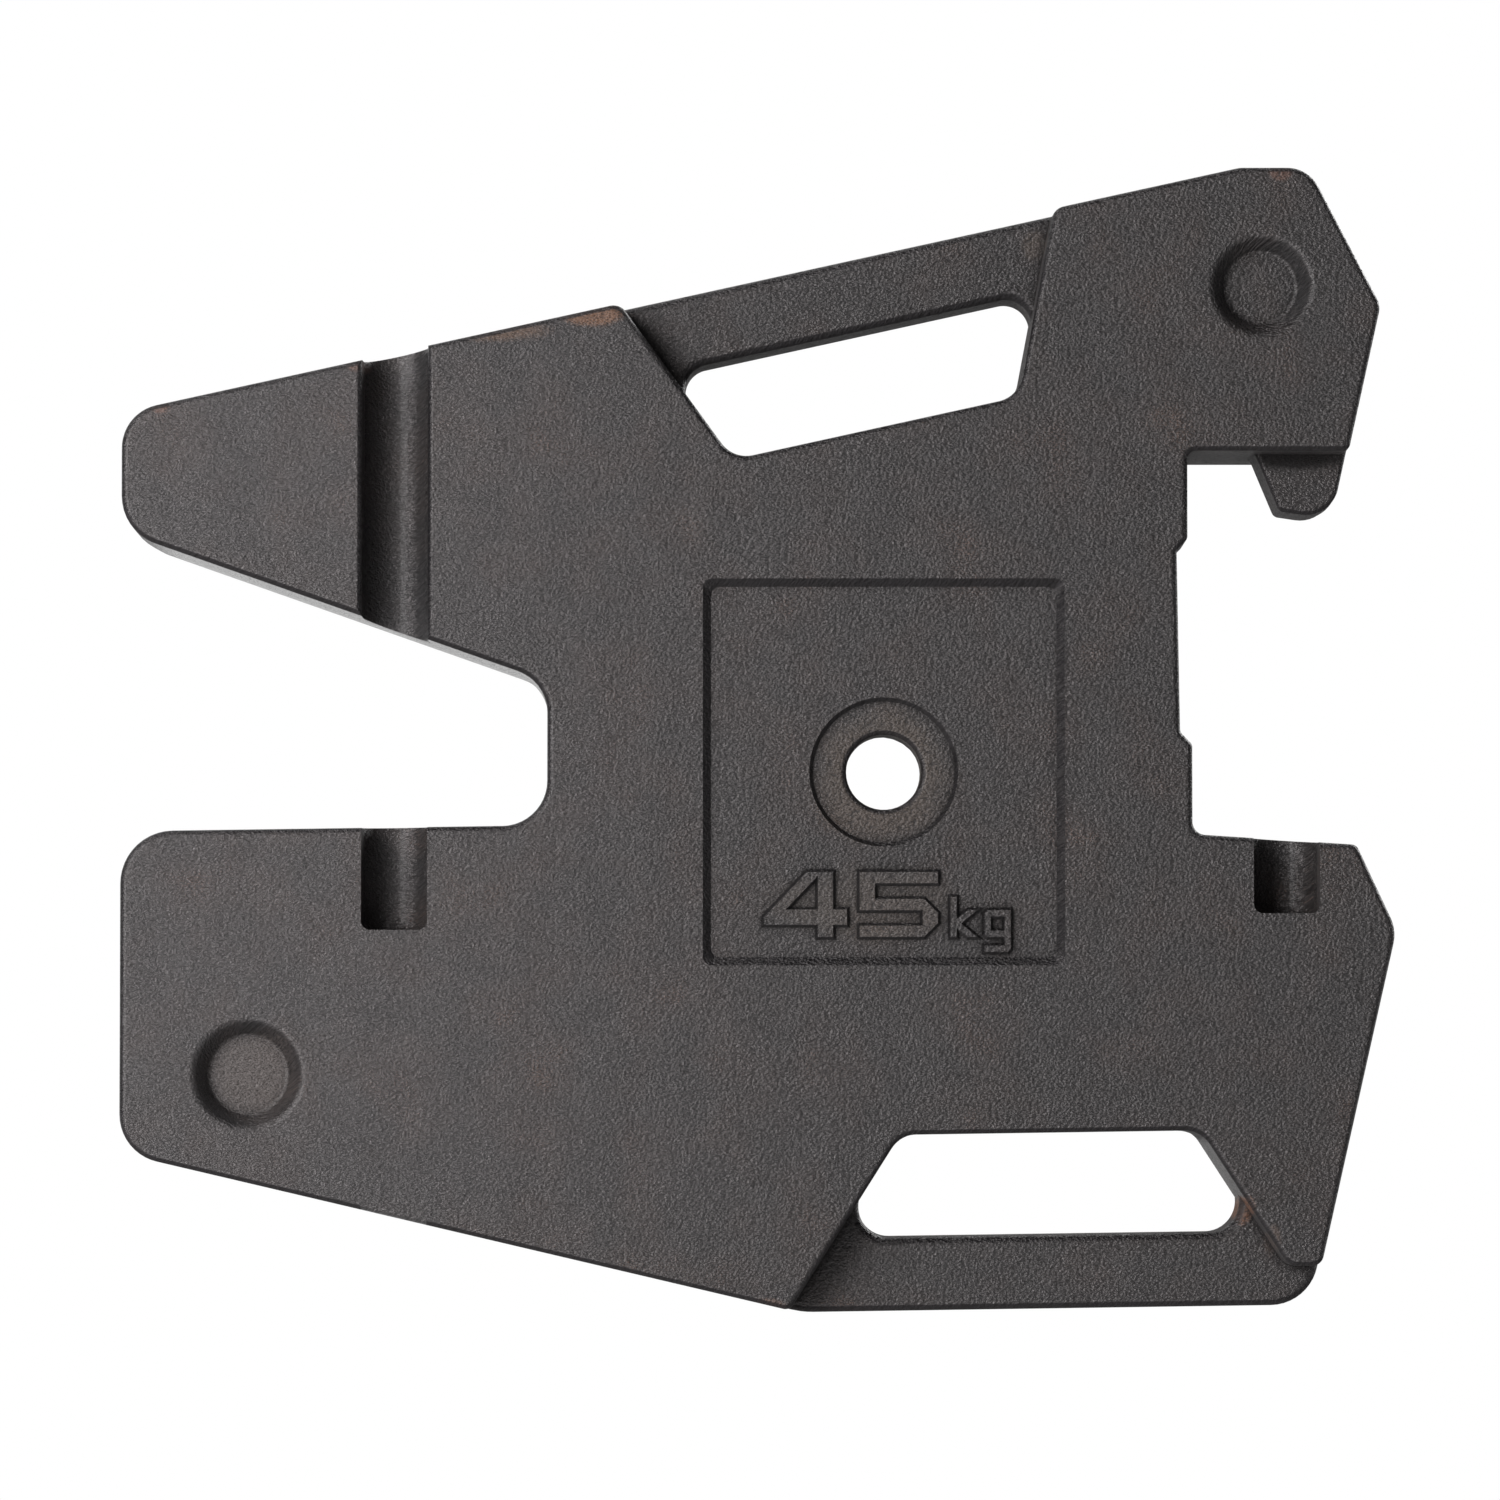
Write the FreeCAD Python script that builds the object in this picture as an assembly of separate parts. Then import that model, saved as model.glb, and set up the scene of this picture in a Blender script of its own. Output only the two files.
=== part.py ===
import FreeCAD, Part
import math
import os

# Cast iron counterweight for the nose of a tractor, one casting, modelled as it hangs from its hook.
# X runs from the slotted end to the hooked end, Y through the thickness, Z is up.
# The origin is the middle of the hook seat. The numbered face looks towards -Y.
# Sizes are in millimetres and angles in degrees.

# Whole casting
thickness = 61.5
draft = 1.0
edge_radius = 2.2
top_slope = 12.4
back_reach = 364.3
base_end_drop = 107.9
base_slope = 13.2

# Arm above the hook seat
arm_height = 94.0
arm_flat_start = 5.8
arm_flat_end = 28.6
arm_shoulder_slope = 62.6
arm_side_reach = 41.6
arm_side_lean = 12.5
arm_break_radius = 10.0
arm_top_radius = 11.5
arm_side_radius = 6.5
arm_low_radius = 2.6
seat_length = 23.6
seat_corner_radius = 3.0

# Nose that closes the hook
nose_thickness = 28.5
nose_face_lean = 22.7
nose_drop = 18.9
nose_end_slope = 8.5
nose_end_radius = 11.0
nose_tip_radius = 2.6
nose_root_radius = 3.3
nose_edge_radius = 1.8

# Wall of the rail notch, with a sunk relief between two pads
upper_pad_height = 29.2
relief_depth = 3.7
relief_height = 68.0
relief_end_slope = 45.0
relief_lean = 0.95
lower_pad_step = 1.4
pad_corner_radius = 2.6

# Ledge below the notch and the leg under it
ledge_drop = 126.8
ledge_slope = 3.7
ledge_reach = 43.7
ledge_root_radius = 4.5
ledge_edge_radius = 2.8
shoulder_slope = 65.1
leg_reach = 56.8
leg_side_lean = 12.8
leg_side_radius = 13.0
leg_end_drop = 45.4
leg_outer_radius = 4.0
leg_inner_radius = 5.0

# Slot in the back end, between the prong above and the block below
slot_reach = 223.4
slot_floor_drop = 124.0
slot_end_height = 47.6
slot_floor_slope = 0.8
prong_slope = 19.4
prong_lower_radius = 17.0
prong_upper_radius = 14.5
slot_upper_radius = 14.5
slot_lower_radius = 15.0
block_upper_radius = 17.5
block_lower_radius = 16.0

# Hand openings, each closed by a thinner grip
grip_height = 24.2
grip_thickness = 25.0
grip_edge_radius = 3.0
top_grip_corner_radius = 8.5
low_grip_corner_radius = 10.2
grip_end_radius = 16.0
grip_blend_radius = 30.0
top_grip_inset = 0.5
flush_stand = 0.25
hand_gap = 34.4
opening_corner_radius = 10.0
step_corner_radius = 5.0
base_corner_radius = 3.0
top_opening_start = 162.0
top_opening_end = 67.6
top_start_slope = 54.0
top_end_slope = 79.3
low_opening_start = 106.9
low_opening_end = 10.7
low_start_slope = 57.7
low_end_slope = 57.0
low_grip_drop = 51.0
low_grip_slope = 0.85

# Round-bottomed grooves in the numbered face
groove_width = 21.8
groove_depth = 20.0
groove_end_radius = 3.0
groove_lip = 1.6
lip_bend = 0.35
back_groove_reach = 273.9
back_groove_drop = 158.5
ledge_groove_reach = 20.6
ledge_groove_drop = 153.0

# Sunk panel with the bore in its middle
panel_width = 119.5
panel_height = 127.8
panel_depth = 2.4
panel_wall_slope = 48.0
panel_corner_radius = 5.0
bore_diameter = 24.8
bore_land = 20.0
bore_back_taper = 2.5
bore_reach = 112.3
bore_drop = 106.3
bore_edge_radius = 2.2
washer_seat_diameter = 46.8
washer_seat_depth = 2.0
washer_seat_slope = 32.0

# Raised number and unit on the panel
number_height = 21.4
number_post = 5.0
number_bar = 3.7
number_gap = 4.2
number_reach = 39.6
number_drop = 54.5
four_width = 27.4
four_foot = 4.0
four_side = 4.6
four_top = 8.6
five_width = 25.8
five_corner = 4.6
five_tail = 4.2
unit_height = 13.2
unit_width = 8.6
unit_stroke = 2.0
unit_gap = 2.6
unit_waist = 8.8
unit_tail = 4.9
mark_relief = 1.8
mark_root = 0.3
mark_side_slope = 27.0

# Round dimples
dimple_depth = 7.0
dimple_lip_radius = 3.0
dimple_floor_radius = 2.0
arm_dimple_diameter = 33.0
arm_dimple_floor = 24.0
arm_dimple_reach = 12.9
arm_dimple_height = 54.7
back_dimple_diameter = 35.5
back_dimple_floor = 26.4
back_dimple_reach = 322.1
back_dimple_drop = 206.1

# Roots of the grips and the nose, clearances of the cuts, and the share of a wall that may be rounded
root_depth = 12.0
wall_overlap = 0.1
seat_overlap = 1.0
cut_clearance = 1.0
corner_share = 0.95

half = thickness / 2
seat_end = seat_length / 2
panel_floor_y = -half + panel_depth


# A line in the XZ plane is a point and a direction, with the metal on the right of the direction
def line(x, z, heading):
    return (x, z, math.cos(math.radians(heading)), math.sin(math.radians(heading)))


def shifted(given, outward):
    x, z, run, rise = given
    return (x - rise * outward, z + run * outward, run, rise)


def turned_back(given):
    x, z, run, rise = given
    return (x, z, -run, -rise)


def meet(first, second):
    x1, z1, run1, rise1 = first
    x2, z2, run2, rise2 = second
    along = ((x2 - x1) * rise2 - (z2 - z1) * run2) / (run1 * rise2 - rise1 * run2)
    return (x1 + run1 * along, z1 + rise1 * along)


def height_on(given, x):
    start, z, run, rise = given
    return z + (x - start) * rise / run


# A side of an outline is a line, its draft and the radius of the corner where it ends
def corners(sides, depth):
    lines = [shifted(given, depth * math.tan(math.radians(slope))) for given, slope, radius in sides]
    return [meet(lines[i], lines[(i + 1) % len(lines)]) for i in range(len(lines))]


def flat_face(points):
    return Part.Face(Part.makePolygon(points + [points[0]]))


def joins(edge, first, second):
    ends = [vertex.Point for vertex in edge.Vertexes]
    if len(ends) != 2:
        return False
    straight = ends[0].isEqual(first, 0.001) and ends[1].isEqual(second, 0.001)
    turned = ends[0].isEqual(second, 0.001) and ends[1].isEqual(first, 0.001)
    return straight or turned


# How far the rounding of a corner reaches along its two sides
def corner_reach(sides, i):
    first, second = sides[i][0], sides[(i + 1) % len(sides)][0]
    cosine = first[2] * second[2] + first[3] * second[3]
    return sides[i][2] * math.tan(math.acos(max(-1, min(1, cosine))) / 2)


# The radii of the corners, each limited by the two walls that it rounds
def corner_radii(sides, points):
    count = len(sides)
    reaches = [corner_reach(sides, i) for i in range(count)]
    shares = [1] * count
    for i in range(count):
        used = reaches[i - 1] + reaches[i]
        room = corner_share * points[i - 1].distanceToPoint(points[i])
        if used > room:
            shares[i - 1] = min(shares[i - 1], room / used)
            shares[i] = min(shares[i], room / used)
    return [sides[i][2] * shares[i] for i in range(count)]


def with_round_corners(solid, near, far, sides):
    radii = corner_radii(sides, near)
    for size in sorted({radius for radius in radii if radius > 0}):
        chosen = [i for i in range(len(sides)) if radii[i] == size]
        edges = [edge for edge in solid.Edges if any(joins(edge, near[i], far[i]) for i in chosen)]
        solid = solid.makeFillet(size, edges)
    return solid


# A prism between two depths, whose sides lean out from the start plane by their draft
def prism(sides, near_y, far_y, start_y):
    near = [FreeCAD.Vector(x, near_y, z) for x, z in corners(sides, near_y - start_y)]
    far = [FreeCAD.Vector(x, far_y, z) for x, z in corners(sides, far_y - start_y)]
    faces = [flat_face(near[::-1]), flat_face(far)]
    for i in range(len(sides)):
        faces.append(flat_face([near[i - 1], near[i], far[i], far[i - 1]]))
    shell = Part.Shell(faces)
    shell.sewShape()
    return with_round_corners(Part.Solid(shell), near, far, sides)


# A plate drafted from both faces to its middle plane, with its face edges rounded
def plate(sides, width, rounding):
    near_half = prism(sides, -width / 2, 0, -width / 2)
    face_edges = [edge for edge in near_half.Edges if edge.BoundBox.YMax < -width / 2 + 0.001]
    near_half = near_half.makeFillet(rounding, face_edges)
    far_half = near_half.mirror(FreeCAD.Vector(0, 0, 0), FreeCAD.Vector(0, 1, 0))
    return near_half.fuse(far_half).removeSplitter()


# Lines that the block shares with the grips and the nose
top_edge = line(arm_flat_start, arm_height, top_slope)
arm_side = line(arm_side_reach, 0, -90 - arm_side_lean)
ledge = line(-seat_end, -ledge_drop, -ledge_slope)
shoulder = line(ledge_reach, height_on(ledge, ledge_reach), -shoulder_slope)
leg_side = line(*meet(shoulder, line(leg_reach, 0, -90)), -90 - leg_side_lean)

# The base is measured down from the floor of the slot, and the low grip from the base
base_end_z = -slot_floor_drop - base_end_drop
base = line(-back_reach, base_end_z, 180 - base_slope)
low_grip_base = line(0, base_end_z - low_grip_drop, 180 + low_grip_slope)

# Walls of the hand openings
top_floor = shifted(top_edge, -grip_height - hand_gap)
top_start = line(-top_opening_start, height_on(top_floor, -top_opening_start), -top_start_slope)
top_end = line(-top_opening_end, height_on(top_floor, -top_opening_end), top_end_slope)
low_roof = shifted(low_grip_base, -grip_height - hand_gap)
low_start = line(-low_opening_start, height_on(low_roof, -low_opening_start), 180 + low_start_slope)

# The leg ends a drop below the roof of the low opening, and the opening at the width of that end
leg_end = line(0, meet(leg_side, low_roof)[1] - leg_end_drop, 180)
leg_tip = meet(leg_side, leg_end)
low_end = line(leg_tip[0] - low_opening_end, leg_tip[1], 180 - low_end_slope)


def arm_sides():
    return [
        (top_edge, draft, arm_break_radius),
        (line(0, arm_height, 0), draft, arm_top_radius),
        (line(arm_flat_end, arm_height, -arm_shoulder_slope), draft, arm_side_radius),
        (arm_side, draft, arm_low_radius),
        (line(0, 0, 180), 0, seat_corner_radius),
    ]


# The notch wall has no draft where it bears on the rail
def notch_sides():
    relief_x = -seat_end - relief_depth
    lower_x = -seat_end + lower_pad_step
    lower_z = -upper_pad_height - relief_height
    return [
        (line(-seat_end, 0, -90), 0, pad_corner_radius),
        (line(-seat_end, -upper_pad_height, -90 - relief_end_slope), draft, pad_corner_radius),
        (line(relief_x, -upper_pad_height, -90 + relief_lean), draft, pad_corner_radius),
        (line(lower_x, lower_z, -90 + relief_end_slope), draft, pad_corner_radius),
        (line(lower_x, lower_z, -90), 0, ledge_root_radius),
        (ledge, draft, ledge_edge_radius),
    ]


def leg_sides():
    return [
        (shoulder, draft, leg_side_radius),
        (leg_side, draft, leg_outer_radius),
        (leg_end, draft, leg_inner_radius),
        (low_end, draft, opening_corner_radius),
        (low_roof, draft, opening_corner_radius),
        (low_start, draft, base_corner_radius),
    ]


def back_sides():
    slot_upper = line(-slot_reach, slot_end_height - slot_floor_drop, 180 - prong_slope)
    return [
        (base, draft, block_lower_radius),
        (line(-back_reach, 0, 90), draft, block_upper_radius),
        (line(-slot_reach, -slot_floor_drop, slot_floor_slope), draft, slot_lower_radius),
        (line(-slot_reach, 0, 90), draft, slot_upper_radius),
        (slot_upper, draft, prong_lower_radius),
        (line(-back_reach, 0, 90), draft, prong_upper_radius),
    ]


def top_sides():
    return [
        (top_edge, draft, step_corner_radius),
        (top_start, draft, opening_corner_radius),
        (top_floor, draft, opening_corner_radius),
        (top_end, draft, step_corner_radius),
    ]


# The full-thickness block, with its hand openings still open to the outside
def block():
    sides = arm_sides() + notch_sides() + leg_sides() + back_sides() + top_sides()
    return plate(sides, thickness, edge_radius)


# A grip is an arch whose feet are buried in the block on both sides of its opening
def top_grip():
    left_wall = shifted(top_start, -wall_overlap)
    right_wall = shifted(top_end, -wall_overlap)
    left_x = meet(left_wall, top_edge)[0] - root_depth
    right_x = meet(right_wall, top_edge)[0] + root_depth
    foot = shifted(top_edge, -grip_height - top_grip_corner_radius - root_depth)
    sides = [
        (shifted(top_edge, -top_grip_inset), draft, 0),
        (line(right_x, 0, -90), draft, 0),
        (turned_back(foot), draft, 0),
        (turned_back(right_wall), draft, top_grip_corner_radius),
        (turned_back(shifted(top_edge, -grip_height)), draft, top_grip_corner_radius),
        (turned_back(left_wall), draft, 0),
        (turned_back(foot), draft, 0),
        (line(left_x, 0, 90), draft, 0),
    ]
    return plate(sides, grip_thickness, grip_edge_radius)


def low_grip():
    left_wall = shifted(low_start, -wall_overlap)
    right_wall = shifted(low_end, -wall_overlap)
    left_x = min(meet(left_wall, low_grip_base)[0], meet(base, low_grip_base)[0]) - root_depth
    foot = shifted(low_grip_base, -grip_height - low_grip_corner_radius - root_depth)
    sides = [
        (shifted(leg_side, flush_stand), draft, grip_end_radius),
        (low_grip_base, draft, grip_blend_radius),
        (shifted(base, flush_stand), draft, 0),
        (line(left_x, 0, 90), draft, 0),
        (turned_back(foot), draft, 0),
        (turned_back(left_wall), draft, low_grip_corner_radius),
        (turned_back(shifted(low_grip_base, -grip_height)), draft, low_grip_corner_radius),
        (turned_back(right_wall), draft, 0),
        (turned_back(foot), draft, 0),
    ]
    return plate(sides, grip_thickness, grip_edge_radius)


def nose():
    nose_face = line(seat_end, 0, 90 + nose_face_lean)
    tip = meet(nose_face, line(0, -nose_drop, 0))
    sides = [
        (line(0, root_depth, 0), draft, 0),
        (shifted(arm_side, flush_stand), draft, nose_end_radius),
        (line(*tip, 180 - nose_end_slope), draft, nose_tip_radius),
        (nose_face, draft, nose_root_radius),
        (line(0, seat_overlap, 180), draft, 0),
        (line(seat_end - root_depth, 0, 90), draft, 0),
    ]
    return plate(sides, nose_thickness, nose_edge_radius)


# The cut for a groove along Z, with a round bottom and a rounded lower end
def groove_cut(centre_x, upper_z, lower_z):
    radius = groove_width / 2
    bend_y = -half + groove_depth - radius
    mouth_y = -half - cut_clearance
    places = [(-radius, bend_y), (-radius, mouth_y), (radius, mouth_y), (radius, bend_y)]
    points = [FreeCAD.Vector(centre_x + x, y, lower_z) for x, y in places]
    bottom = Part.Arc(points[-1], FreeCAD.Vector(centre_x, bend_y + radius, lower_z), points[0])
    section = Part.Wire(Part.makePolygon(points).Edges + [bottom.toShape()])
    body = Part.Face(section).extrude(FreeCAD.Vector(0, 0, upper_z - lower_z))
    walls = [edge for edge in body.Edges if edge.BoundBox.ZMax < lower_z + 0.001]
    walls = [edge for edge in walls if edge.BoundBox.YMax > mouth_y + 0.001]
    return body.makeFillet(groove_end_radius, walls)


# The cut that rounds off both lips of the groove where it crosses the face
def lip_cut(centre_x, upper_z, lower_z):
    def at(x, y):
        return FreeCAD.Vector(centre_x + x, y, lower_z)

    radius = groove_width / 2
    mouth = radius + groove_lip
    bend = groove_lip * lip_bend
    left = [at(-mouth, -half - cut_clearance), at(-mouth, -half)]
    floor = [at(-radius, -half + groove_lip), at(radius, -half + groove_lip)]
    right = [at(mouth, -half), at(mouth, -half - cut_clearance), left[0]]
    left_lip = Part.Arc(left[1], at(-radius - bend, -half + bend), floor[0])
    right_lip = Part.Arc(floor[1], at(radius + bend, -half + bend), right[0])
    edges = Part.makePolygon(left).Edges + [left_lip.toShape()] + Part.makePolygon(floor).Edges
    edges += [right_lip.toShape()] + Part.makePolygon(right).Edges
    return Part.Face(Part.Wire(edges)).extrude(FreeCAD.Vector(0, 0, upper_z - lower_z))


def groove_cuts():
    slot_z = -slot_floor_drop + slot_end_height / 2
    notch_z = -ledge_drop + ledge_root_radius + cut_clearance
    return [
        groove_cut(-back_groove_reach, arm_height, -back_groove_drop),
        lip_cut(-back_groove_reach, arm_height, slot_z),
        groove_cut(ledge_groove_reach, notch_z, -ledge_groove_drop),
    ]


def panel_cut():
    left = -bore_reach - panel_width / 2
    upper = -bore_drop + panel_height / 2
    walls = [
        line(left, upper, 0),
        line(left + panel_width, upper, -90),
        line(left, upper - panel_height, 180),
        line(left, upper, 90),
    ]
    sides = [(wall, -panel_wall_slope, panel_corner_radius) for wall in walls]
    return prism(sides, -half - cut_clearance, panel_floor_y, -half)


def at_bore(reach, y):
    return FreeCAD.Vector(reach - bore_reach, y, -bore_drop)


# The bore with its round rim, its land and back taper, and the sunk washer seat, turned as one section
def bore_cut():
    radius = bore_diameter / 2
    rim = bore_edge_radius
    bend = rim * (1 - math.sqrt(0.5))
    seat = washer_seat_diameter / 2
    seat_y = panel_floor_y + washer_seat_depth
    mouth = seat + (seat_y + half) * math.tan(math.radians(washer_seat_slope))
    land_y = seat_y + rim + bore_land
    back_y = half + cut_clearance
    back_radius = radius + (back_y - land_y) * math.tan(math.radians(bore_back_taper))
    front = [at_bore(0, -half), at_bore(mouth, -half), at_bore(seat, seat_y), at_bore(radius + rim, seat_y)]
    back = [at_bore(radius, seat_y + rim), at_bore(radius, land_y), at_bore(back_radius, back_y)]
    back += [at_bore(0, back_y), at_bore(0, -half)]
    round_rim = Part.Arc(front[-1], at_bore(radius + bend, seat_y + bend), back[0])
    edges = Part.makePolygon(front).Edges + [round_rim.toShape()] + Part.makePolygon(back).Edges
    return Part.Face(Part.Wire(edges)).revolve(at_bore(0, 0), FreeCAD.Vector(0, 1, 0), 360)


# A dimple with sloping sides, whose lip and floor are rounded, turned as one section
def dimple_cut(x, z, diameter, floor):
    def at(reach, depth):
        return FreeCAD.Vector(x + reach, -half + depth, z)

    outer, inner = diameter / 2, floor / 2
    lean = math.atan2(dimple_depth, outer - inner)
    run, drop = math.cos(lean), math.sin(lean)
    lip, foot = dimple_lip_radius * math.tan(lean / 2), dimple_floor_radius * math.tan(lean / 2)
    bend_x, bend_y = math.sin(lean / 2), 1 - math.cos(lean / 2)
    mouth = [at(0, -cut_clearance), at(outer + lip, -cut_clearance), at(outer + lip, 0)]
    wall = [at(outer - lip * run, lip * drop), at(inner + foot * run, dimple_depth - foot * drop)]
    bottom = [at(inner - foot, dimple_depth), at(0, dimple_depth), mouth[0]]
    lip_middle = at(outer + lip - dimple_lip_radius * bend_x, dimple_lip_radius * bend_y)
    foot_x, foot_depth = inner - foot + dimple_floor_radius * bend_x, dimple_floor_radius * bend_y
    foot_middle = at(foot_x, dimple_depth - foot_depth)
    round_lip = Part.Arc(mouth[-1], lip_middle, wall[0])
    round_foot = Part.Arc(wall[-1], foot_middle, bottom[0])
    edges = Part.makePolygon(mouth).Edges + [round_lip.toShape()] + Part.makePolygon(wall).Edges
    edges += [round_foot.toShape()] + Part.makePolygon(bottom).Edges
    return Part.Face(Part.Wire(edges)).revolve(at(0, 0), FreeCAD.Vector(0, 1, 0), 360)


# The sides of an outline that runs clockwise seen from the numbered face
def sides_along(points, slope):
    sides = []
    for i in range(len(points)):
        (x, z), (next_x, next_z) = points[i], points[(i + 1) % len(points)]
        heading = math.degrees(math.atan2(next_z - z, next_x - x))
        sides.append((line(x, z, heading), slope, 0))
    return sides


# A raised mark with sloping sides
def mark(points):
    top_y = panel_floor_y - mark_relief
    return prism(sides_along(points, mark_side_slope), top_y, panel_floor_y + mark_root, top_y)


# The cut for the enclosed space of a mark
def window(points):
    top_y = panel_floor_y - mark_relief
    return prism(sides_along(points, -mark_side_slope), top_y - cut_clearance, panel_floor_y, top_y)


def four(left, low):
    right = left + four_width
    top = low + number_height
    post_right = right - four_side
    post_left = post_right - number_post
    bar = low + four_foot
    bar_top = bar + number_post
    slant_x, slant_z = post_right - four_top, bar_top - number_post / 2
    outline = [(left, slant_z), (slant_x, top), (post_right, top), (post_right, bar_top), (right, bar_top)]
    outline += [(right, bar), (post_right, bar), (post_right, low), (post_left, low), (post_left, bar)]
    outline += [(left, bar)]
    slope = (top - slant_z) / (slant_x - left)
    side_z = top - (slant_x - post_left) * slope - number_post
    enclosed = [(post_left - (side_z - bar_top) / slope, bar_top), (post_left, side_z), (post_left, bar_top)]
    return mark(outline).cut(window(enclosed))


def five(left, low):
    right = left + five_width
    top = low + number_height
    inner_left, inner_right = left + number_post, right - number_post
    shelf = low + five_corner
    waist = shelf + five_tail + number_bar
    outline = [(left, waist - number_bar), (left, top), (right, top), (right, top - number_bar)]
    outline += [(inner_left, top - number_bar), (inner_left, waist), (right - five_corner, waist)]
    outline += [(right, waist - five_corner), (right, shelf), (right - five_corner, low), (left, low)]
    outline += [(left, low + number_bar), (inner_right, low + number_bar), (inner_right, waist - number_bar)]
    return mark(outline)


def unit_k(left, low):
    stem = left + unit_stroke
    right = left + unit_width
    waist = low + unit_waist
    knee = low + unit_waist / 2
    lean = unit_stroke * math.sqrt(2)
    outline = [(left, low), (left, low + unit_height), (stem, low + unit_height), (stem, knee + lean / 2)]
    outline += [(right - lean, waist), (right, waist), (stem + lean / 2, knee), (right, low)]
    outline += [(right - lean, low), (stem, knee - lean / 2), (stem, low)]
    return mark(outline)


def unit_g(left, low):
    right = left + unit_width
    inner_left, inner_right = left + unit_stroke, right - unit_stroke
    waist = low + unit_waist
    cut = unit_stroke / 2
    tail = low - unit_tail
    outline = [(left, low + cut), (left, waist - cut), (left + cut, waist), (right, waist)]
    outline += [(right, tail + cut), (right - cut, tail), (left, tail), (left, tail + unit_stroke)]
    outline += [(inner_right, tail + unit_stroke), (inner_right, low), (left + cut, low)]
    bowl = [(inner_left, low + unit_stroke), (inner_left, waist - unit_stroke)]
    bowl += [(inner_right, waist - unit_stroke), (inner_right, low + unit_stroke)]
    return mark(outline).cut(window(bowl))


def marks():
    left = -bore_reach - number_reach
    low = -bore_drop - number_drop
    second = left + four_width + number_gap
    unit = second + five_width + number_gap
    return [
        four(left, low),
        five(second, low),
        unit_k(unit, low),
        unit_g(unit + unit_width + unit_gap, low),
    ]


def casting():
    body = block().fuse([top_grip(), low_grip(), nose()])
    dimples = [
        dimple_cut(arm_dimple_reach, arm_dimple_height, arm_dimple_diameter, arm_dimple_floor),
        dimple_cut(-back_dimple_reach, -back_dimple_drop, back_dimple_diameter, back_dimple_floor),
    ]
    body = body.cut(groove_cuts() + dimples + [panel_cut(), bore_cut()])
    return body.fuse(marks()).removeSplitter()


os.makedirs("parts", exist_ok=True)
casting().exportStep("parts/casting.step")
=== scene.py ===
import math

import bmesh
import bpy
from mathutils import Matrix, Vector


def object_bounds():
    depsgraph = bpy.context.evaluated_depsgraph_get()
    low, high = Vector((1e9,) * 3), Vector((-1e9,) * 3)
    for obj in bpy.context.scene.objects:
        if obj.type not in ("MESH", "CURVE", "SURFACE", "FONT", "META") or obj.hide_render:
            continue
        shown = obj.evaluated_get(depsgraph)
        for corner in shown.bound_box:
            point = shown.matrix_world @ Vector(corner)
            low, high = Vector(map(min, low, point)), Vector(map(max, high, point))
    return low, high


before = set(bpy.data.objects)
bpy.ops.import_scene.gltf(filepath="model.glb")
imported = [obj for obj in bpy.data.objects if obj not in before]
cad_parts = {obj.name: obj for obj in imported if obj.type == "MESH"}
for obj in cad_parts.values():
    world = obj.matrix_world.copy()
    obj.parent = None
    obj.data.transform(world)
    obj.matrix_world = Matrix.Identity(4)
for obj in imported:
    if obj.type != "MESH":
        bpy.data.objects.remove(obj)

cadLow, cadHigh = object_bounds()
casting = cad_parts["casting"]
print("frame loaded", cadLow, cadHigh)

# camera at the height of the lower half, tipped up a little
viewPoint = {
    "place": (-0.15648, -2.35462, -0.19478),
    "tipUp": 2.3562,    # degrees
    "lens": 169.15,
    "sensor": 36.0,
    "farEnd": 60,
}


def addCamera(v):
    data = bpy.data.cameras.new("viewCamera")
    data.lens = v["lens"]
    data.sensor_width = v["sensor"]
    data.clip_end = v["farEnd"]
    cam = bpy.data.objects.new("viewCamera", data)
    cam.location = v["place"]
    cam.rotation_euler = (math.radians(90 + v["tipUp"]), 0, 0)
    bpy.context.scene.collection.objects.link(cam)
    bpy.context.scene.camera = cam


addCamera(viewPoint)
print("camera placed")

rising = (0.0, 1.0)
falling = (1.0, 0.0)
faceY = -0.0307    # the numbered face


def newMaterial(name):
    mat = bpy.data.materials.new(name)
    mat.use_nodes = True
    mat.node_tree.nodes.clear()
    return mat, mat.node_tree


def addNode(tree, kind, inputs=None, **settings):
    node = tree.nodes.new(kind)
    for key, value in settings.items():
        setattr(node, key, value)
    for key, value in (inputs or {}).items():
        socket = node.inputs[key]
        if isinstance(value, bpy.types.NodeSocket):
            tree.links.new(value, socket)
        else:
            socket.default_value = value
    return node


def maths(tree, operation, a, b=0.0, c=0.0, clamp=False):
    settings = {"operation": operation, "use_clamp": clamp}
    return addNode(tree, "ShaderNodeMath", {0: a, 1: b, 2: c}, **settings).outputs[0]


def product(tree, first, *others):
    for other in others:
        first = maths(tree, "MULTIPLY", first, other)
    return first


def opposite(tree, value):
    return maths(tree, "SUBTRACT", 1.0, value)


def span(tree, value, limits, ends=rising):
    # a soft step: the first end before the limits, the second end after them
    inputs = {"Value": value, "From Min": limits[0], "From Max": limits[1],
              "To Min": ends[0], "To Max": ends[1]}
    node = addNode(tree, "ShaderNodeMapRange", inputs, interpolation_type="SMOOTHSTEP")
    return node.outputs["Result"]


def blendColour(tree, share, a, b):
    inputs = {0: share, 6: a, 7: b}
    return addNode(tree, "ShaderNodeMix", inputs, data_type="RGBA").outputs[2]


def noise(tree, where, size, detail, rough):
    inputs = {"Vector": where, "Scale": 1 / size, "Detail": detail, "Roughness": rough}
    return addNode(tree, "ShaderNodeTexNoise", inputs, noise_dimensions="2D").outputs["Fac"]


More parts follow.
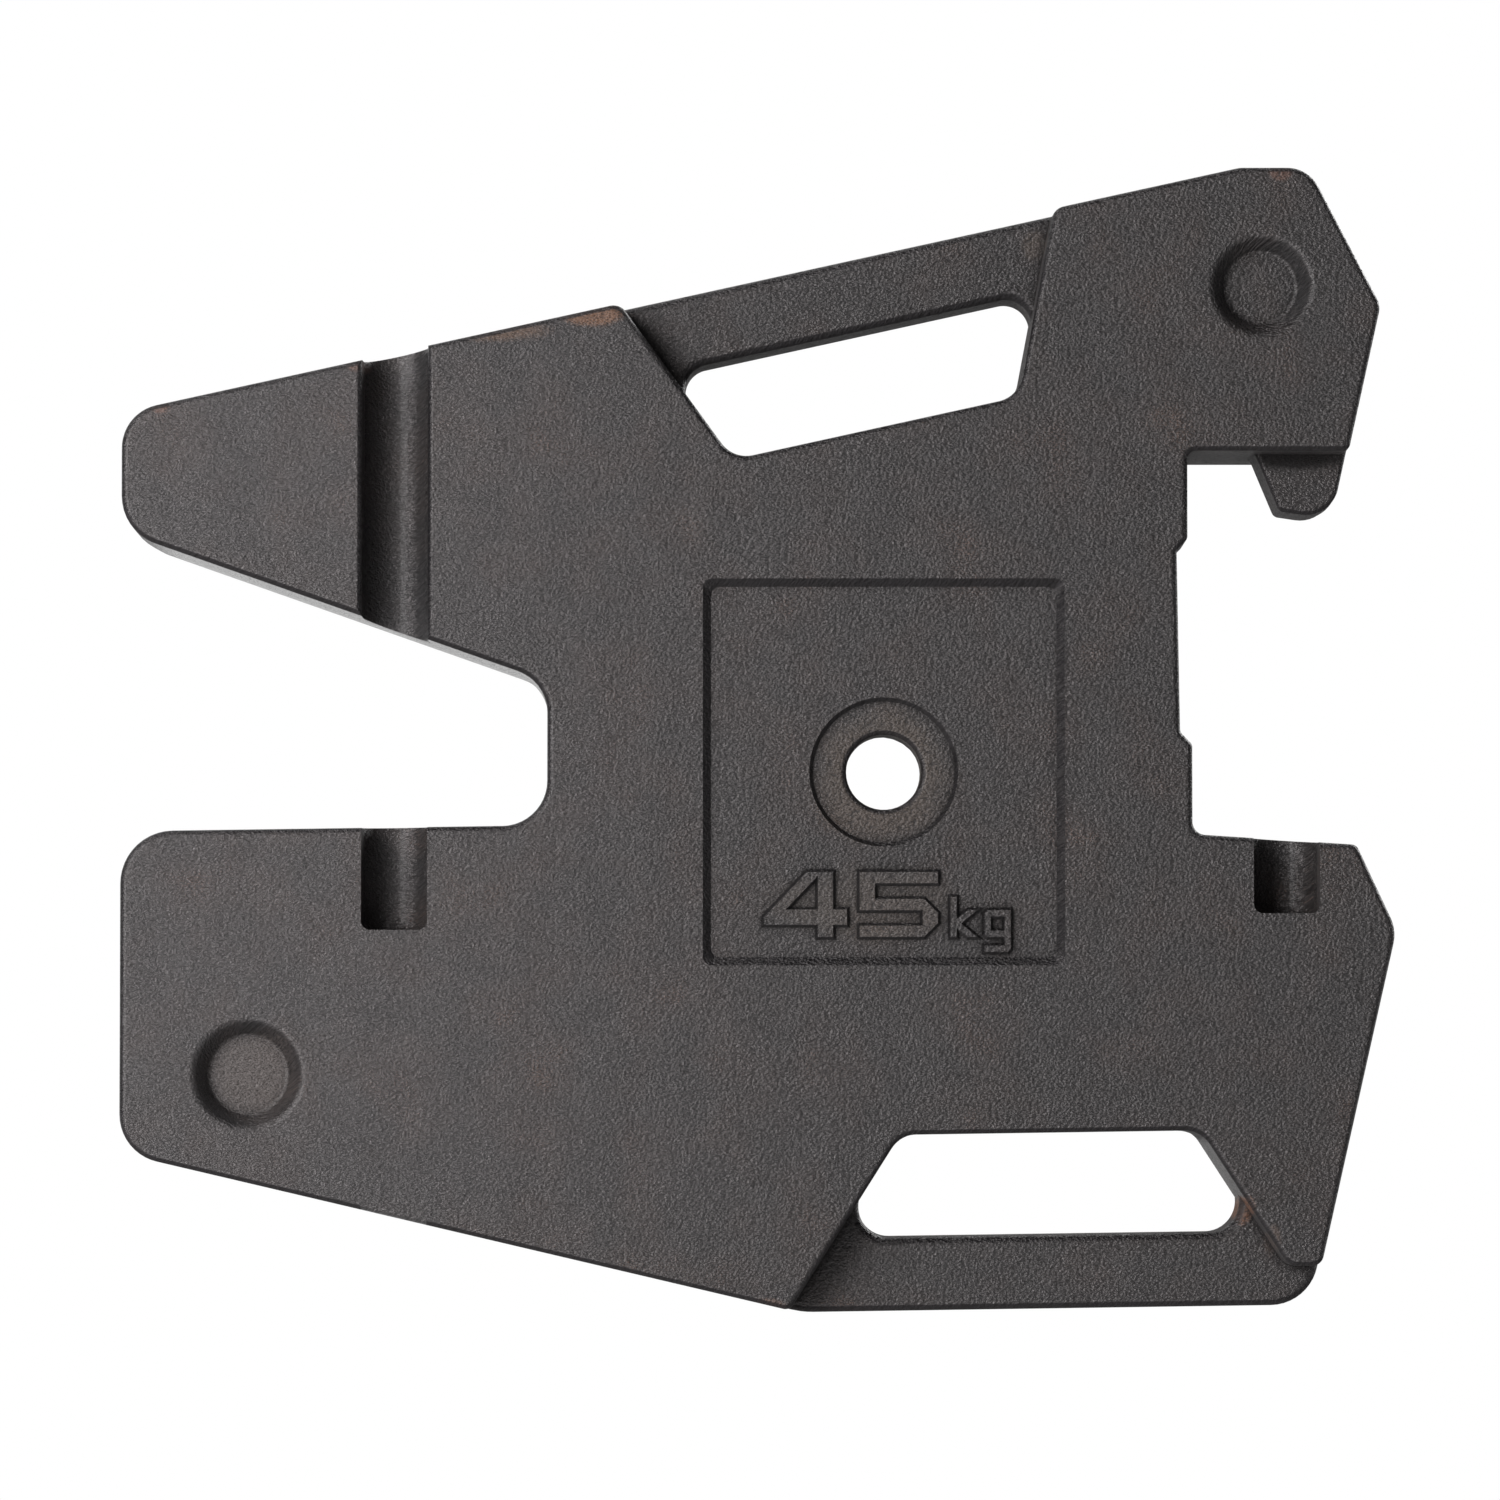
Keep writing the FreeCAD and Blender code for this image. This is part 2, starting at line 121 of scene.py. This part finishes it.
def patch(tree, where, spot, depth=1.0):
    # 1 in the middle of a spot on the numbered face, 0 from its edge on, fading behind the face
    middle, reach = spot["middle"], spot["reach"]
    inputs = {"Vector": where, "Location": (middle[0], faceY, middle[1]),
              "Scale": (reach[0], depth, reach[1])}
    place = addNode(tree, "ShaderNodeMapping", inputs, vector_type="TEXTURE")
    ball = addNode(tree, "ShaderNodeTexGradient", {"Vector": place.outputs[0]},
                   gradient_type="SPHERICAL")
    return ball.outputs["Fac"]


# satin charcoal paint on a sand-cast skin: sizes in metres, heights in heightUnit,
# and each pair named Start, End, Edge or Run gives the limits of a soft step
ironPaint = {
    "warm": (0.0258, 0.0226, 0.0222, 1),
    "cool": (0.0212, 0.0208, 0.0214, 1),
    "pit": (0.0034, 0.0030, 0.0030, 1),
    "grit": (0.0480, 0.0440, 0.0440, 1),
    "rimShade": (0.0060, 0.0055, 0.0065, 1),
    "creviceShade": (0.0030, 0.0028, 0.0028, 1),
    "specular": 0.5,
    "specularTint": (1.0, 0.935, 0.940, 1),
    "roughness": 0.25,
    "pitRough": 0.3,    # this and the next three are added to the roughness
    "darkRough": 0.8,
    "wallRough": 0.60,
    "rustRough": 0.25,
    "coat": 0.06,
    "polish": 0.40,    # added to the coat on walls that were rubbed bright
    "coatRoughness": 0.16,
    "rimStart": (0.06, 0.30),    # these five go by how squarely the skin looks along Y
    "rimEnd": (0.90, 0.995),
    "wallEnd": (0.10, 0.35),
    "flatStart": (0.90, 0.99),
    "shadowFaceStart": (0.6, 0.9),
    "underEnd": (-0.45, -0.15),    # goes by how far the skin looks up
    "rimShare": 0.9,
    "bowlShare": 0.25,    # what is left of the rim's shade inside a dimple
    "bowlEdge": (0.0, 0.08),
    "grooveDepth": 0.0190,
    "grooveFeather": 0.0008,
    "depthFeather": 0.0010,
    "lean": (0.8, 0.6),
    "streak": (0.70, 1.40, 1.0),
    "sand": {"size": 0.00055, "detail": 2, "rough": 0.65},
    "pebble": {"size": 0.0014, "detail": 1, "rough": 0.6},
    "swell": {"size": 0.016, "detail": 0, "rough": 0.4},
    "blot": {"size": 0.030, "detail": 2, "rough": 0.6},
    "cell": 0.0012,
    "cellBend": 0.0016,
    "coarseRun": (-0.33, -0.08),    # along X, from the slotted end to the hook
    "leftGrain": 0.25,
    "heightUnit": 0.001,
    "sandHeight": 0.30,
    "pebbleHeight": 0.34,
    "swellHeight": 0.35,
    "cellHeight": 0.34,
    "pitEnd": (0.33, 0.45),
    "seamStart": (0.52, 0.80),
    "seam": 0.8,
    "warmStart": (0.38, 0.62),
    "gritStart": (0.52, 0.66),
    "creviceReach": 0.0040,
    "creviceSamples": 2,
    "ragged": 0.12,
    "creviceEnd": (0.50, 1.03),
    "shadowEdge": (0.0, 0.7),
    "stainDepth": 0.080,
    "stainEdge": (0.68, 1.08),
    "looseSand": 0.6,    # how much the two noises break up the edge of a stain
    "looseBlot": 0.5,
    "shineEdge": (0.0, 0.3),
}

# rust and dirt that sit in one place, on the XZ plane like all the lists below
stains = [
    {"middle": (-0.2092, 0.0455), "reach": (0.0160, 0.0060), "share": 0.80,
     "colour": (0.130, 0.066, 0.038, 1)},
    {"middle": (-0.2400, 0.0400), "reach": (0.0260, 0.0060), "share": 0.60,
     "colour": (0.105, 0.062, 0.040, 1)},
    {"middle": (-0.1507, -0.2830), "reach": (0.0095, 0.0045), "share": 0.90,
     "colour": (0.110, 0.066, 0.050, 1)},
    {"middle": (0.0066, -0.2512), "reach": (0.0045, 0.0065), "share": 0.95,
     "colour": (0.150, 0.066, 0.034, 1)},
    {"middle": (0.0160, -0.2605), "reach": (0.0035, 0.0075), "share": 0.60,
     "colour": (0.070, 0.048, 0.038, 1)},
    {"middle": (0.0193, 0.0924), "reach": (0.0050, 0.0035), "share": 0.70,
     "colour": (0.100, 0.055, 0.042, 1)},
    {"middle": (-0.3517, 0.0151), "reach": (0.0040, 0.0035), "share": 0.70,
     "colour": (0.100, 0.055, 0.042, 1)},
    {"middle": (-0.2862, 0.0283), "reach": (0.0050, 0.0030), "share": 0.60,
     "colour": (0.100, 0.055, 0.042, 1)},
    {"middle": (-0.3221, -0.2061), "reach": (0.0200, 0.0200), "share": 0.50,
     "colour": (0.075, 0.062, 0.056, 1)},
    {"middle": (-0.1123, -0.1063), "reach": (0.0300, 0.0300), "share": 0.50,
     "colour": (0.075, 0.058, 0.045, 1)},
    {"middle": (-0.1180, -0.1500), "reach": (0.0420, 0.0170), "share": 0.50,
     "colour": (0.062, 0.052, 0.045, 1)},
    {"middle": (-0.0617, 0.0700), "reach": (0.0060, 0.0070), "share": 0.50,
     "colour": (0.070, 0.055, 0.045, 1)},
]

# painted shadow: dark patches in the corners beside the hook's seat
cornerShadows = [
    {"middle": (0.0250, -0.0020), "reach": (0.0230, 0.0045), "share": 0.9},
    {"middle": (0.0085, -0.0060), "reach": (0.0050, 0.0090), "share": 0.6},
]

# walls that were rubbed bright
shines = [
    {"middle": (-0.2930, -0.0620), "reach": (0.1000, 0.0600), "share": 1.0},
    {"middle": (0.0040, -0.2360), "reach": (0.0160, 0.0150), "share": 0.3},
]

# round-walled places that keep their own shine, unlike the rims
grooves = [
    {"middle": (-0.2739, -0.1400), "reach": (0.0112, 0.2100)},
    {"middle": (0.0206, -0.1600), "reach": (0.0112, 0.0360)},
]
dimples = [
    {"middle": (0.0129, 0.0547), "reach": (0.0225, 0.0225)},
    {"middle": (-0.3221, -0.2061), "reach": (0.0225, 0.0225)},
]


def outsideGrooves(tree, p, place, grooves):
    floorY = faceY + p["grooveDepth"]
    shallow = span(tree, place.outputs["Y"], (floorY, floorY + p["depthFeather"]), falling)
    outside = 1.0
    for g in grooves:
        inside = shallow
        for axis, middle, reach in zip("XZ", g["middle"], g["reach"]):
            offset = maths(tree, "SUBTRACT", place.outputs[axis], middle)
            distance = maths(tree, "ABSOLUTE", offset)
            edge = (reach - p["grooveFeather"], reach)
            inside = product(tree, inside, span(tree, distance, edge, falling))
        outside = product(tree, outside, opposite(tree, inside))
    return outside


def findEdges(tree, p, where, place, facing, grooves, dimples):
    outside = outsideGrooves(tree, p, place, grooves)
    wall = product(tree, span(tree, facing, p["wallEnd"], falling), outside)
    rim = product(tree, span(tree, facing, p["rimStart"]),
                  span(tree, facing, p["rimEnd"], falling), outside, p["rimShare"])
    for d in dimples:
        bowl = span(tree, patch(tree, where, d), p["bowlEdge"], (1.0, p["bowlShare"]))
        rim = product(tree, rim, bowl)
    return rim, wall


def castGrain(tree, p, place):
    # laid out flat on XZ and leaning with Y, so that it runs on round the side walls
    across = maths(tree, "MULTIPLY_ADD", place.outputs["Y"], p["lean"][0], place.outputs["X"])
    upward = maths(tree, "MULTIPLY_ADD", place.outputs["Y"], p["lean"][1], place.outputs["Z"])
    flat = addNode(tree, "ShaderNodeCombineXYZ", {0: across, 1: upward}).outputs[0]
    stretch = {"Vector": flat, "Scale": p["streak"]}
    grained = addNode(tree, "ShaderNodeMapping", stretch).outputs[0]
    sand = noise(tree, grained, **p["sand"])
    pebble = noise(tree, grained, **p["pebble"])
    swell = noise(tree, flat, **p["swell"])
    bend = {0: flat, 1: product(tree, pebble, p["cellBend"])}
    bent = addNode(tree, "ShaderNodeVectorMath", bend, operation="ADD").outputs[0]
    layout = {"Vector": bent, "Scale": 1 / p["cell"]}
    cells = addNode(tree, "ShaderNodeTexVoronoi", layout, feature="F1",
                    voronoi_dimensions="2D").outputs["Distance"]
    coarse = span(tree, place.outputs["X"], p["coarseRun"], (p["leftGrain"], 1.0))
    crown = product(tree, opposite(tree, cells), coarse)
    seam = product(tree, span(tree, cells, p["seamStart"]), coarse, p["seam"])
    height = product(tree, sand, p["sandHeight"])
    height = maths(tree, "MULTIPLY_ADD", pebble, p["pebbleHeight"], height)
    height = maths(tree, "MULTIPLY_ADD", swell, p["swellHeight"], height)
    height = maths(tree, "MULTIPLY_ADD", crown, p["cellHeight"], height)
    relief = {"Height": height, "Distance": p["heightUnit"], "Strength": 1.0}
    return {
        "sand": sand,
        "blot": noise(tree, flat, **p["blot"]),
        "pit": maths(tree, "MAXIMUM", span(tree, sand, p["pitEnd"], falling), seam),
        "bump": addNode(tree, "ShaderNodeBump", relief).outputs["Normal"],
    }


def findCrevices(tree, p, where, facing, sand, cornerShadows):
    near = {"Distance": p["creviceReach"]}
    openness = addNode(tree, "ShaderNodeAmbientOcclusion", near, samples=p["creviceSamples"],
                       only_local=True).outputs["AO"]
    openness = maths(tree, "MULTIPLY_ADD", sand, p["ragged"], openness)
    crevice = span(tree, openness, p["creviceEnd"], falling)
    face = span(tree, facing, p["shadowFaceStart"])
    for c in cornerShadows:
        # painted shadow on the front faces at the listed corners, joined with the crevice shade
        paintedShadow = span(tree, patch(tree, where, c), p["shadowEdge"], (0.0, c["share"]))
        crevice = maths(tree, "MAXIMUM", crevice, product(tree, paintedShadow, face))
    return crevice


def addStains(tree, p, where, grain, colour, stains):
    loose = product(tree, grain["blot"], p["looseBlot"])
    loose = maths(tree, "MULTIPLY_ADD", grain["sand"], p["looseSand"], loose)
    rusty = 0.0
    for s in stains:
        spot = maths(tree, "ADD", patch(tree, where, s, p["stainDepth"]), loose)
        spot = span(tree, spot, p["stainEdge"], (0.0, s["share"]))
        colour = blendColour(tree, spot, colour, s["colour"])
        rusty = maths(tree, "MAXIMUM", rusty, spot)
    return colour, rusty


def findPolish(tree, p, where, wall, shines):
    polished = 0.0
    for s in shines:
        shine = span(tree, patch(tree, where, s), p["shineEdge"], (0.0, s["share"]))
        polished = maths(tree, "MAXIMUM", polished, shine)
    return product(tree, polished, wall)


def makeIron(p, stains, cornerShadows, shines, grooves, dimples):
    mat, tree = newMaterial("castIronPaint")
    coords = addNode(tree, "ShaderNodeTexCoord")
    where = coords.outputs["Object"]
    place = addNode(tree, "ShaderNodeSeparateXYZ", {0: where})
    normal = addNode(tree, "ShaderNodeSeparateXYZ", {0: coords.outputs["Normal"]})
    facing = maths(tree, "ABSOLUTE", normal.outputs["Y"])
    rim, wall = findEdges(tree, p, where, place, facing, grooves, dimples)
    grain = castGrain(tree, p, place)
    sand, pit = grain["sand"], grain["pit"]
    crevice = findCrevices(tree, p, where, facing, sand, cornerShadows)

    warmth = span(tree, grain["blot"], p["warmStart"])
    colour = blendColour(tree, warmth, p["cool"], p["warm"])
    colour = blendColour(tree, span(tree, sand, p["gritStart"]), colour, p["grit"])
    colour, rusty = addStains(tree, p, where, grain, colour, stains)
    # painted shade: the rims are darkened in the base colour
    colour = blendColour(tree, rim, colour, p["rimShade"])
    # painted shade: the crevices found by occlusion, and the corner patches, are darkened in the
    # base colour
    colour = blendColour(tree, crevice, colour, p["creviceShade"])
    colour = blendColour(tree, pit, colour, p["pit"])

    # only flat crevices and rims that look down are dull, the other rims mirror the dark room
    under = span(tree, normal.outputs["Z"], p["underEnd"], falling)
    dull = product(tree, crevice, span(tree, facing, p["flatStart"]))
    dull = maths(tree, "MAXIMUM", dull, product(tree, rim, under))
    polished = findPolish(tree, p, where, wall, shines)
    matt = product(tree, wall, opposite(tree, polished))
    rough = maths(tree, "MULTIPLY_ADD", pit, p["pitRough"], p["roughness"])
    rough = maths(tree, "MULTIPLY_ADD", dull, p["darkRough"], rough, clamp=True)
    rough = maths(tree, "MULTIPLY_ADD", matt, p["wallRough"], rough)
    rough = maths(tree, "MULTIPLY_ADD", rusty, p["rustRough"], rough, clamp=True)

    bare = maths(tree, "MAXIMUM", maths(tree, "MAXIMUM", rim, crevice), pit)
    coat = maths(tree, "MULTIPLY_ADD", polished, p["polish"], p["coat"])
    coat = product(tree, coat, opposite(tree, bare))
    shader = addNode(tree, "ShaderNodeBsdfPrincipled", {
        "Base Color": colour,
        "Roughness": rough,
        "Normal": grain["bump"],
        "Specular IOR Level": p["specular"],
        "Specular Tint": p["specularTint"],
        "Coat Weight": coat,
        "Coat Roughness": p["coatRoughness"],
    })
    addNode(tree, "ShaderNodeOutputMaterial", {"Surface": shader.outputs[0]})
    return mat


iron = makeIron(ironPaint, stains, cornerShadows, shines, grooves, dimples)
casting.data.materials.clear()
casting.data.materials.append(iron)
print("iron paint laid on the casting")

# white floor and backdrop: own is the light they give off, plain the share they throw back
studio = {
    "drop": 0.35,
    "floorRadius": 9.0,
    "floorSides": 64,
    "floorPaper": {"own": 0.35, "plain": 0.6},
    "backdropDistance": 2.2,
    "backdropSize": (7.0, 4.5),
    "backdropPaper": {"own": 1.0, "plain": 0},
    "white": (1, 1, 1, 1),
    "world": 0.08,
}


def paleMaterial(name, white, own, plain):
    # gives off light only towards the camera and in mirror images
    mat, tree = newMaterial(name)
    path = addNode(tree, "ShaderNodeLightPath")
    seen = maths(tree, "MAXIMUM", path.outputs["Is Camera Ray"], path.outputs["Is Glossy Ray"])
    seen = maths(tree, "MAXIMUM", seen, path.outputs["Is Transmission Ray"])
    light = {"Color": white, "Strength": product(tree, seen, own)}
    paper = addNode(tree, "ShaderNodeEmission", light)
    if plain:
        flat = addNode(tree, "ShaderNodeBsdfDiffuse", {"Color": (plain, plain, plain, 1)})
        both = {0: paper.outputs[0], 1: flat.outputs[0]}
        paper = addNode(tree, "ShaderNodeAddShader", both)
    addNode(tree, "ShaderNodeOutputMaterial", {"Surface": paper.outputs[0]})
    return mat


def stagePiece(name, bm, material):
    mesh = bpy.data.meshes.new(name)
    bm.to_mesh(mesh)
    bm.free()
    piece = bpy.data.objects.new(name, mesh)
    mesh.materials.append(material)
    bpy.context.scene.collection.objects.link(piece)


def addStudio(s, low):
    floorZ = low.z - s["drop"]
    bm = bmesh.new()
    bmesh.ops.create_circle(bm, cap_ends=True, segments=s["floorSides"], radius=s["floorRadius"])
    bmesh.ops.translate(bm, verts=bm.verts, vec=(0, 0, floorZ))
    stagePiece("studioFloor", bm, paleMaterial("floorPaper", s["white"], **s["floorPaper"]))
    bm = bmesh.new()
    width, height = s["backdropSize"]
    upright = Matrix.Rotation(math.radians(90), 3, "X")
    bmesh.ops.create_grid(bm, x_segments=1, y_segments=1, size=0.5)
    bmesh.ops.scale(bm, verts=bm.verts, vec=(width, height, 1))
    bmesh.ops.rotate(bm, verts=bm.verts, cent=(0, 0, 0), matrix=upright)
    centre = (0, s["backdropDistance"], floorZ + height / 2)
    bmesh.ops.translate(bm, verts=bm.verts, vec=centre)
    paper = paleMaterial("backdropPaper", s["white"], **s["backdropPaper"])
    stagePiece("studioBackdrop", bm, paper)
    world = bpy.data.worlds.new("studioAir")
    world.use_nodes = True
    air = world.node_tree.nodes["Background"]
    air.inputs["Color"].default_value = s["white"]
    air.inputs["Strength"].default_value = s["world"]
    bpy.context.scene.world = world


addStudio(studio, cadLow)

# from is measured off the middle of the casting
softboxes = [
    {"name": "backBox", "from": (1.10, 1.50, 0.85), "size": (0.9, 0.9), "power": 16},
    {"name": "keyBox", "from": (-1.00, -0.90, 0.55), "size": (0.5, 0.6), "power": 10},
    {"name": "frontBox", "from": (-1.08, -1.90, 0.34), "size": (1.0, 1.1), "power": 60},
]


def addSoftbox(b, target):
    light = bpy.data.lights.new(b["name"], "AREA")
    light.shape = "RECTANGLE"
    light.size, light.size_y = b["size"]
    light.energy = b["power"]
    lamp = bpy.data.objects.new(b["name"], light)
    place = target + Vector(b["from"])
    lamp.location = place
    lamp.rotation_euler = (target - place).to_track_quat("-Z", "Y").to_euler()
    bpy.context.scene.collection.objects.link(lamp)


for box in softboxes:
    addSoftbox(box, (cadLow + cadHigh) / 2)
print("studio set up")

bpy.context.scene.view_settings.view_transform = "Standard"
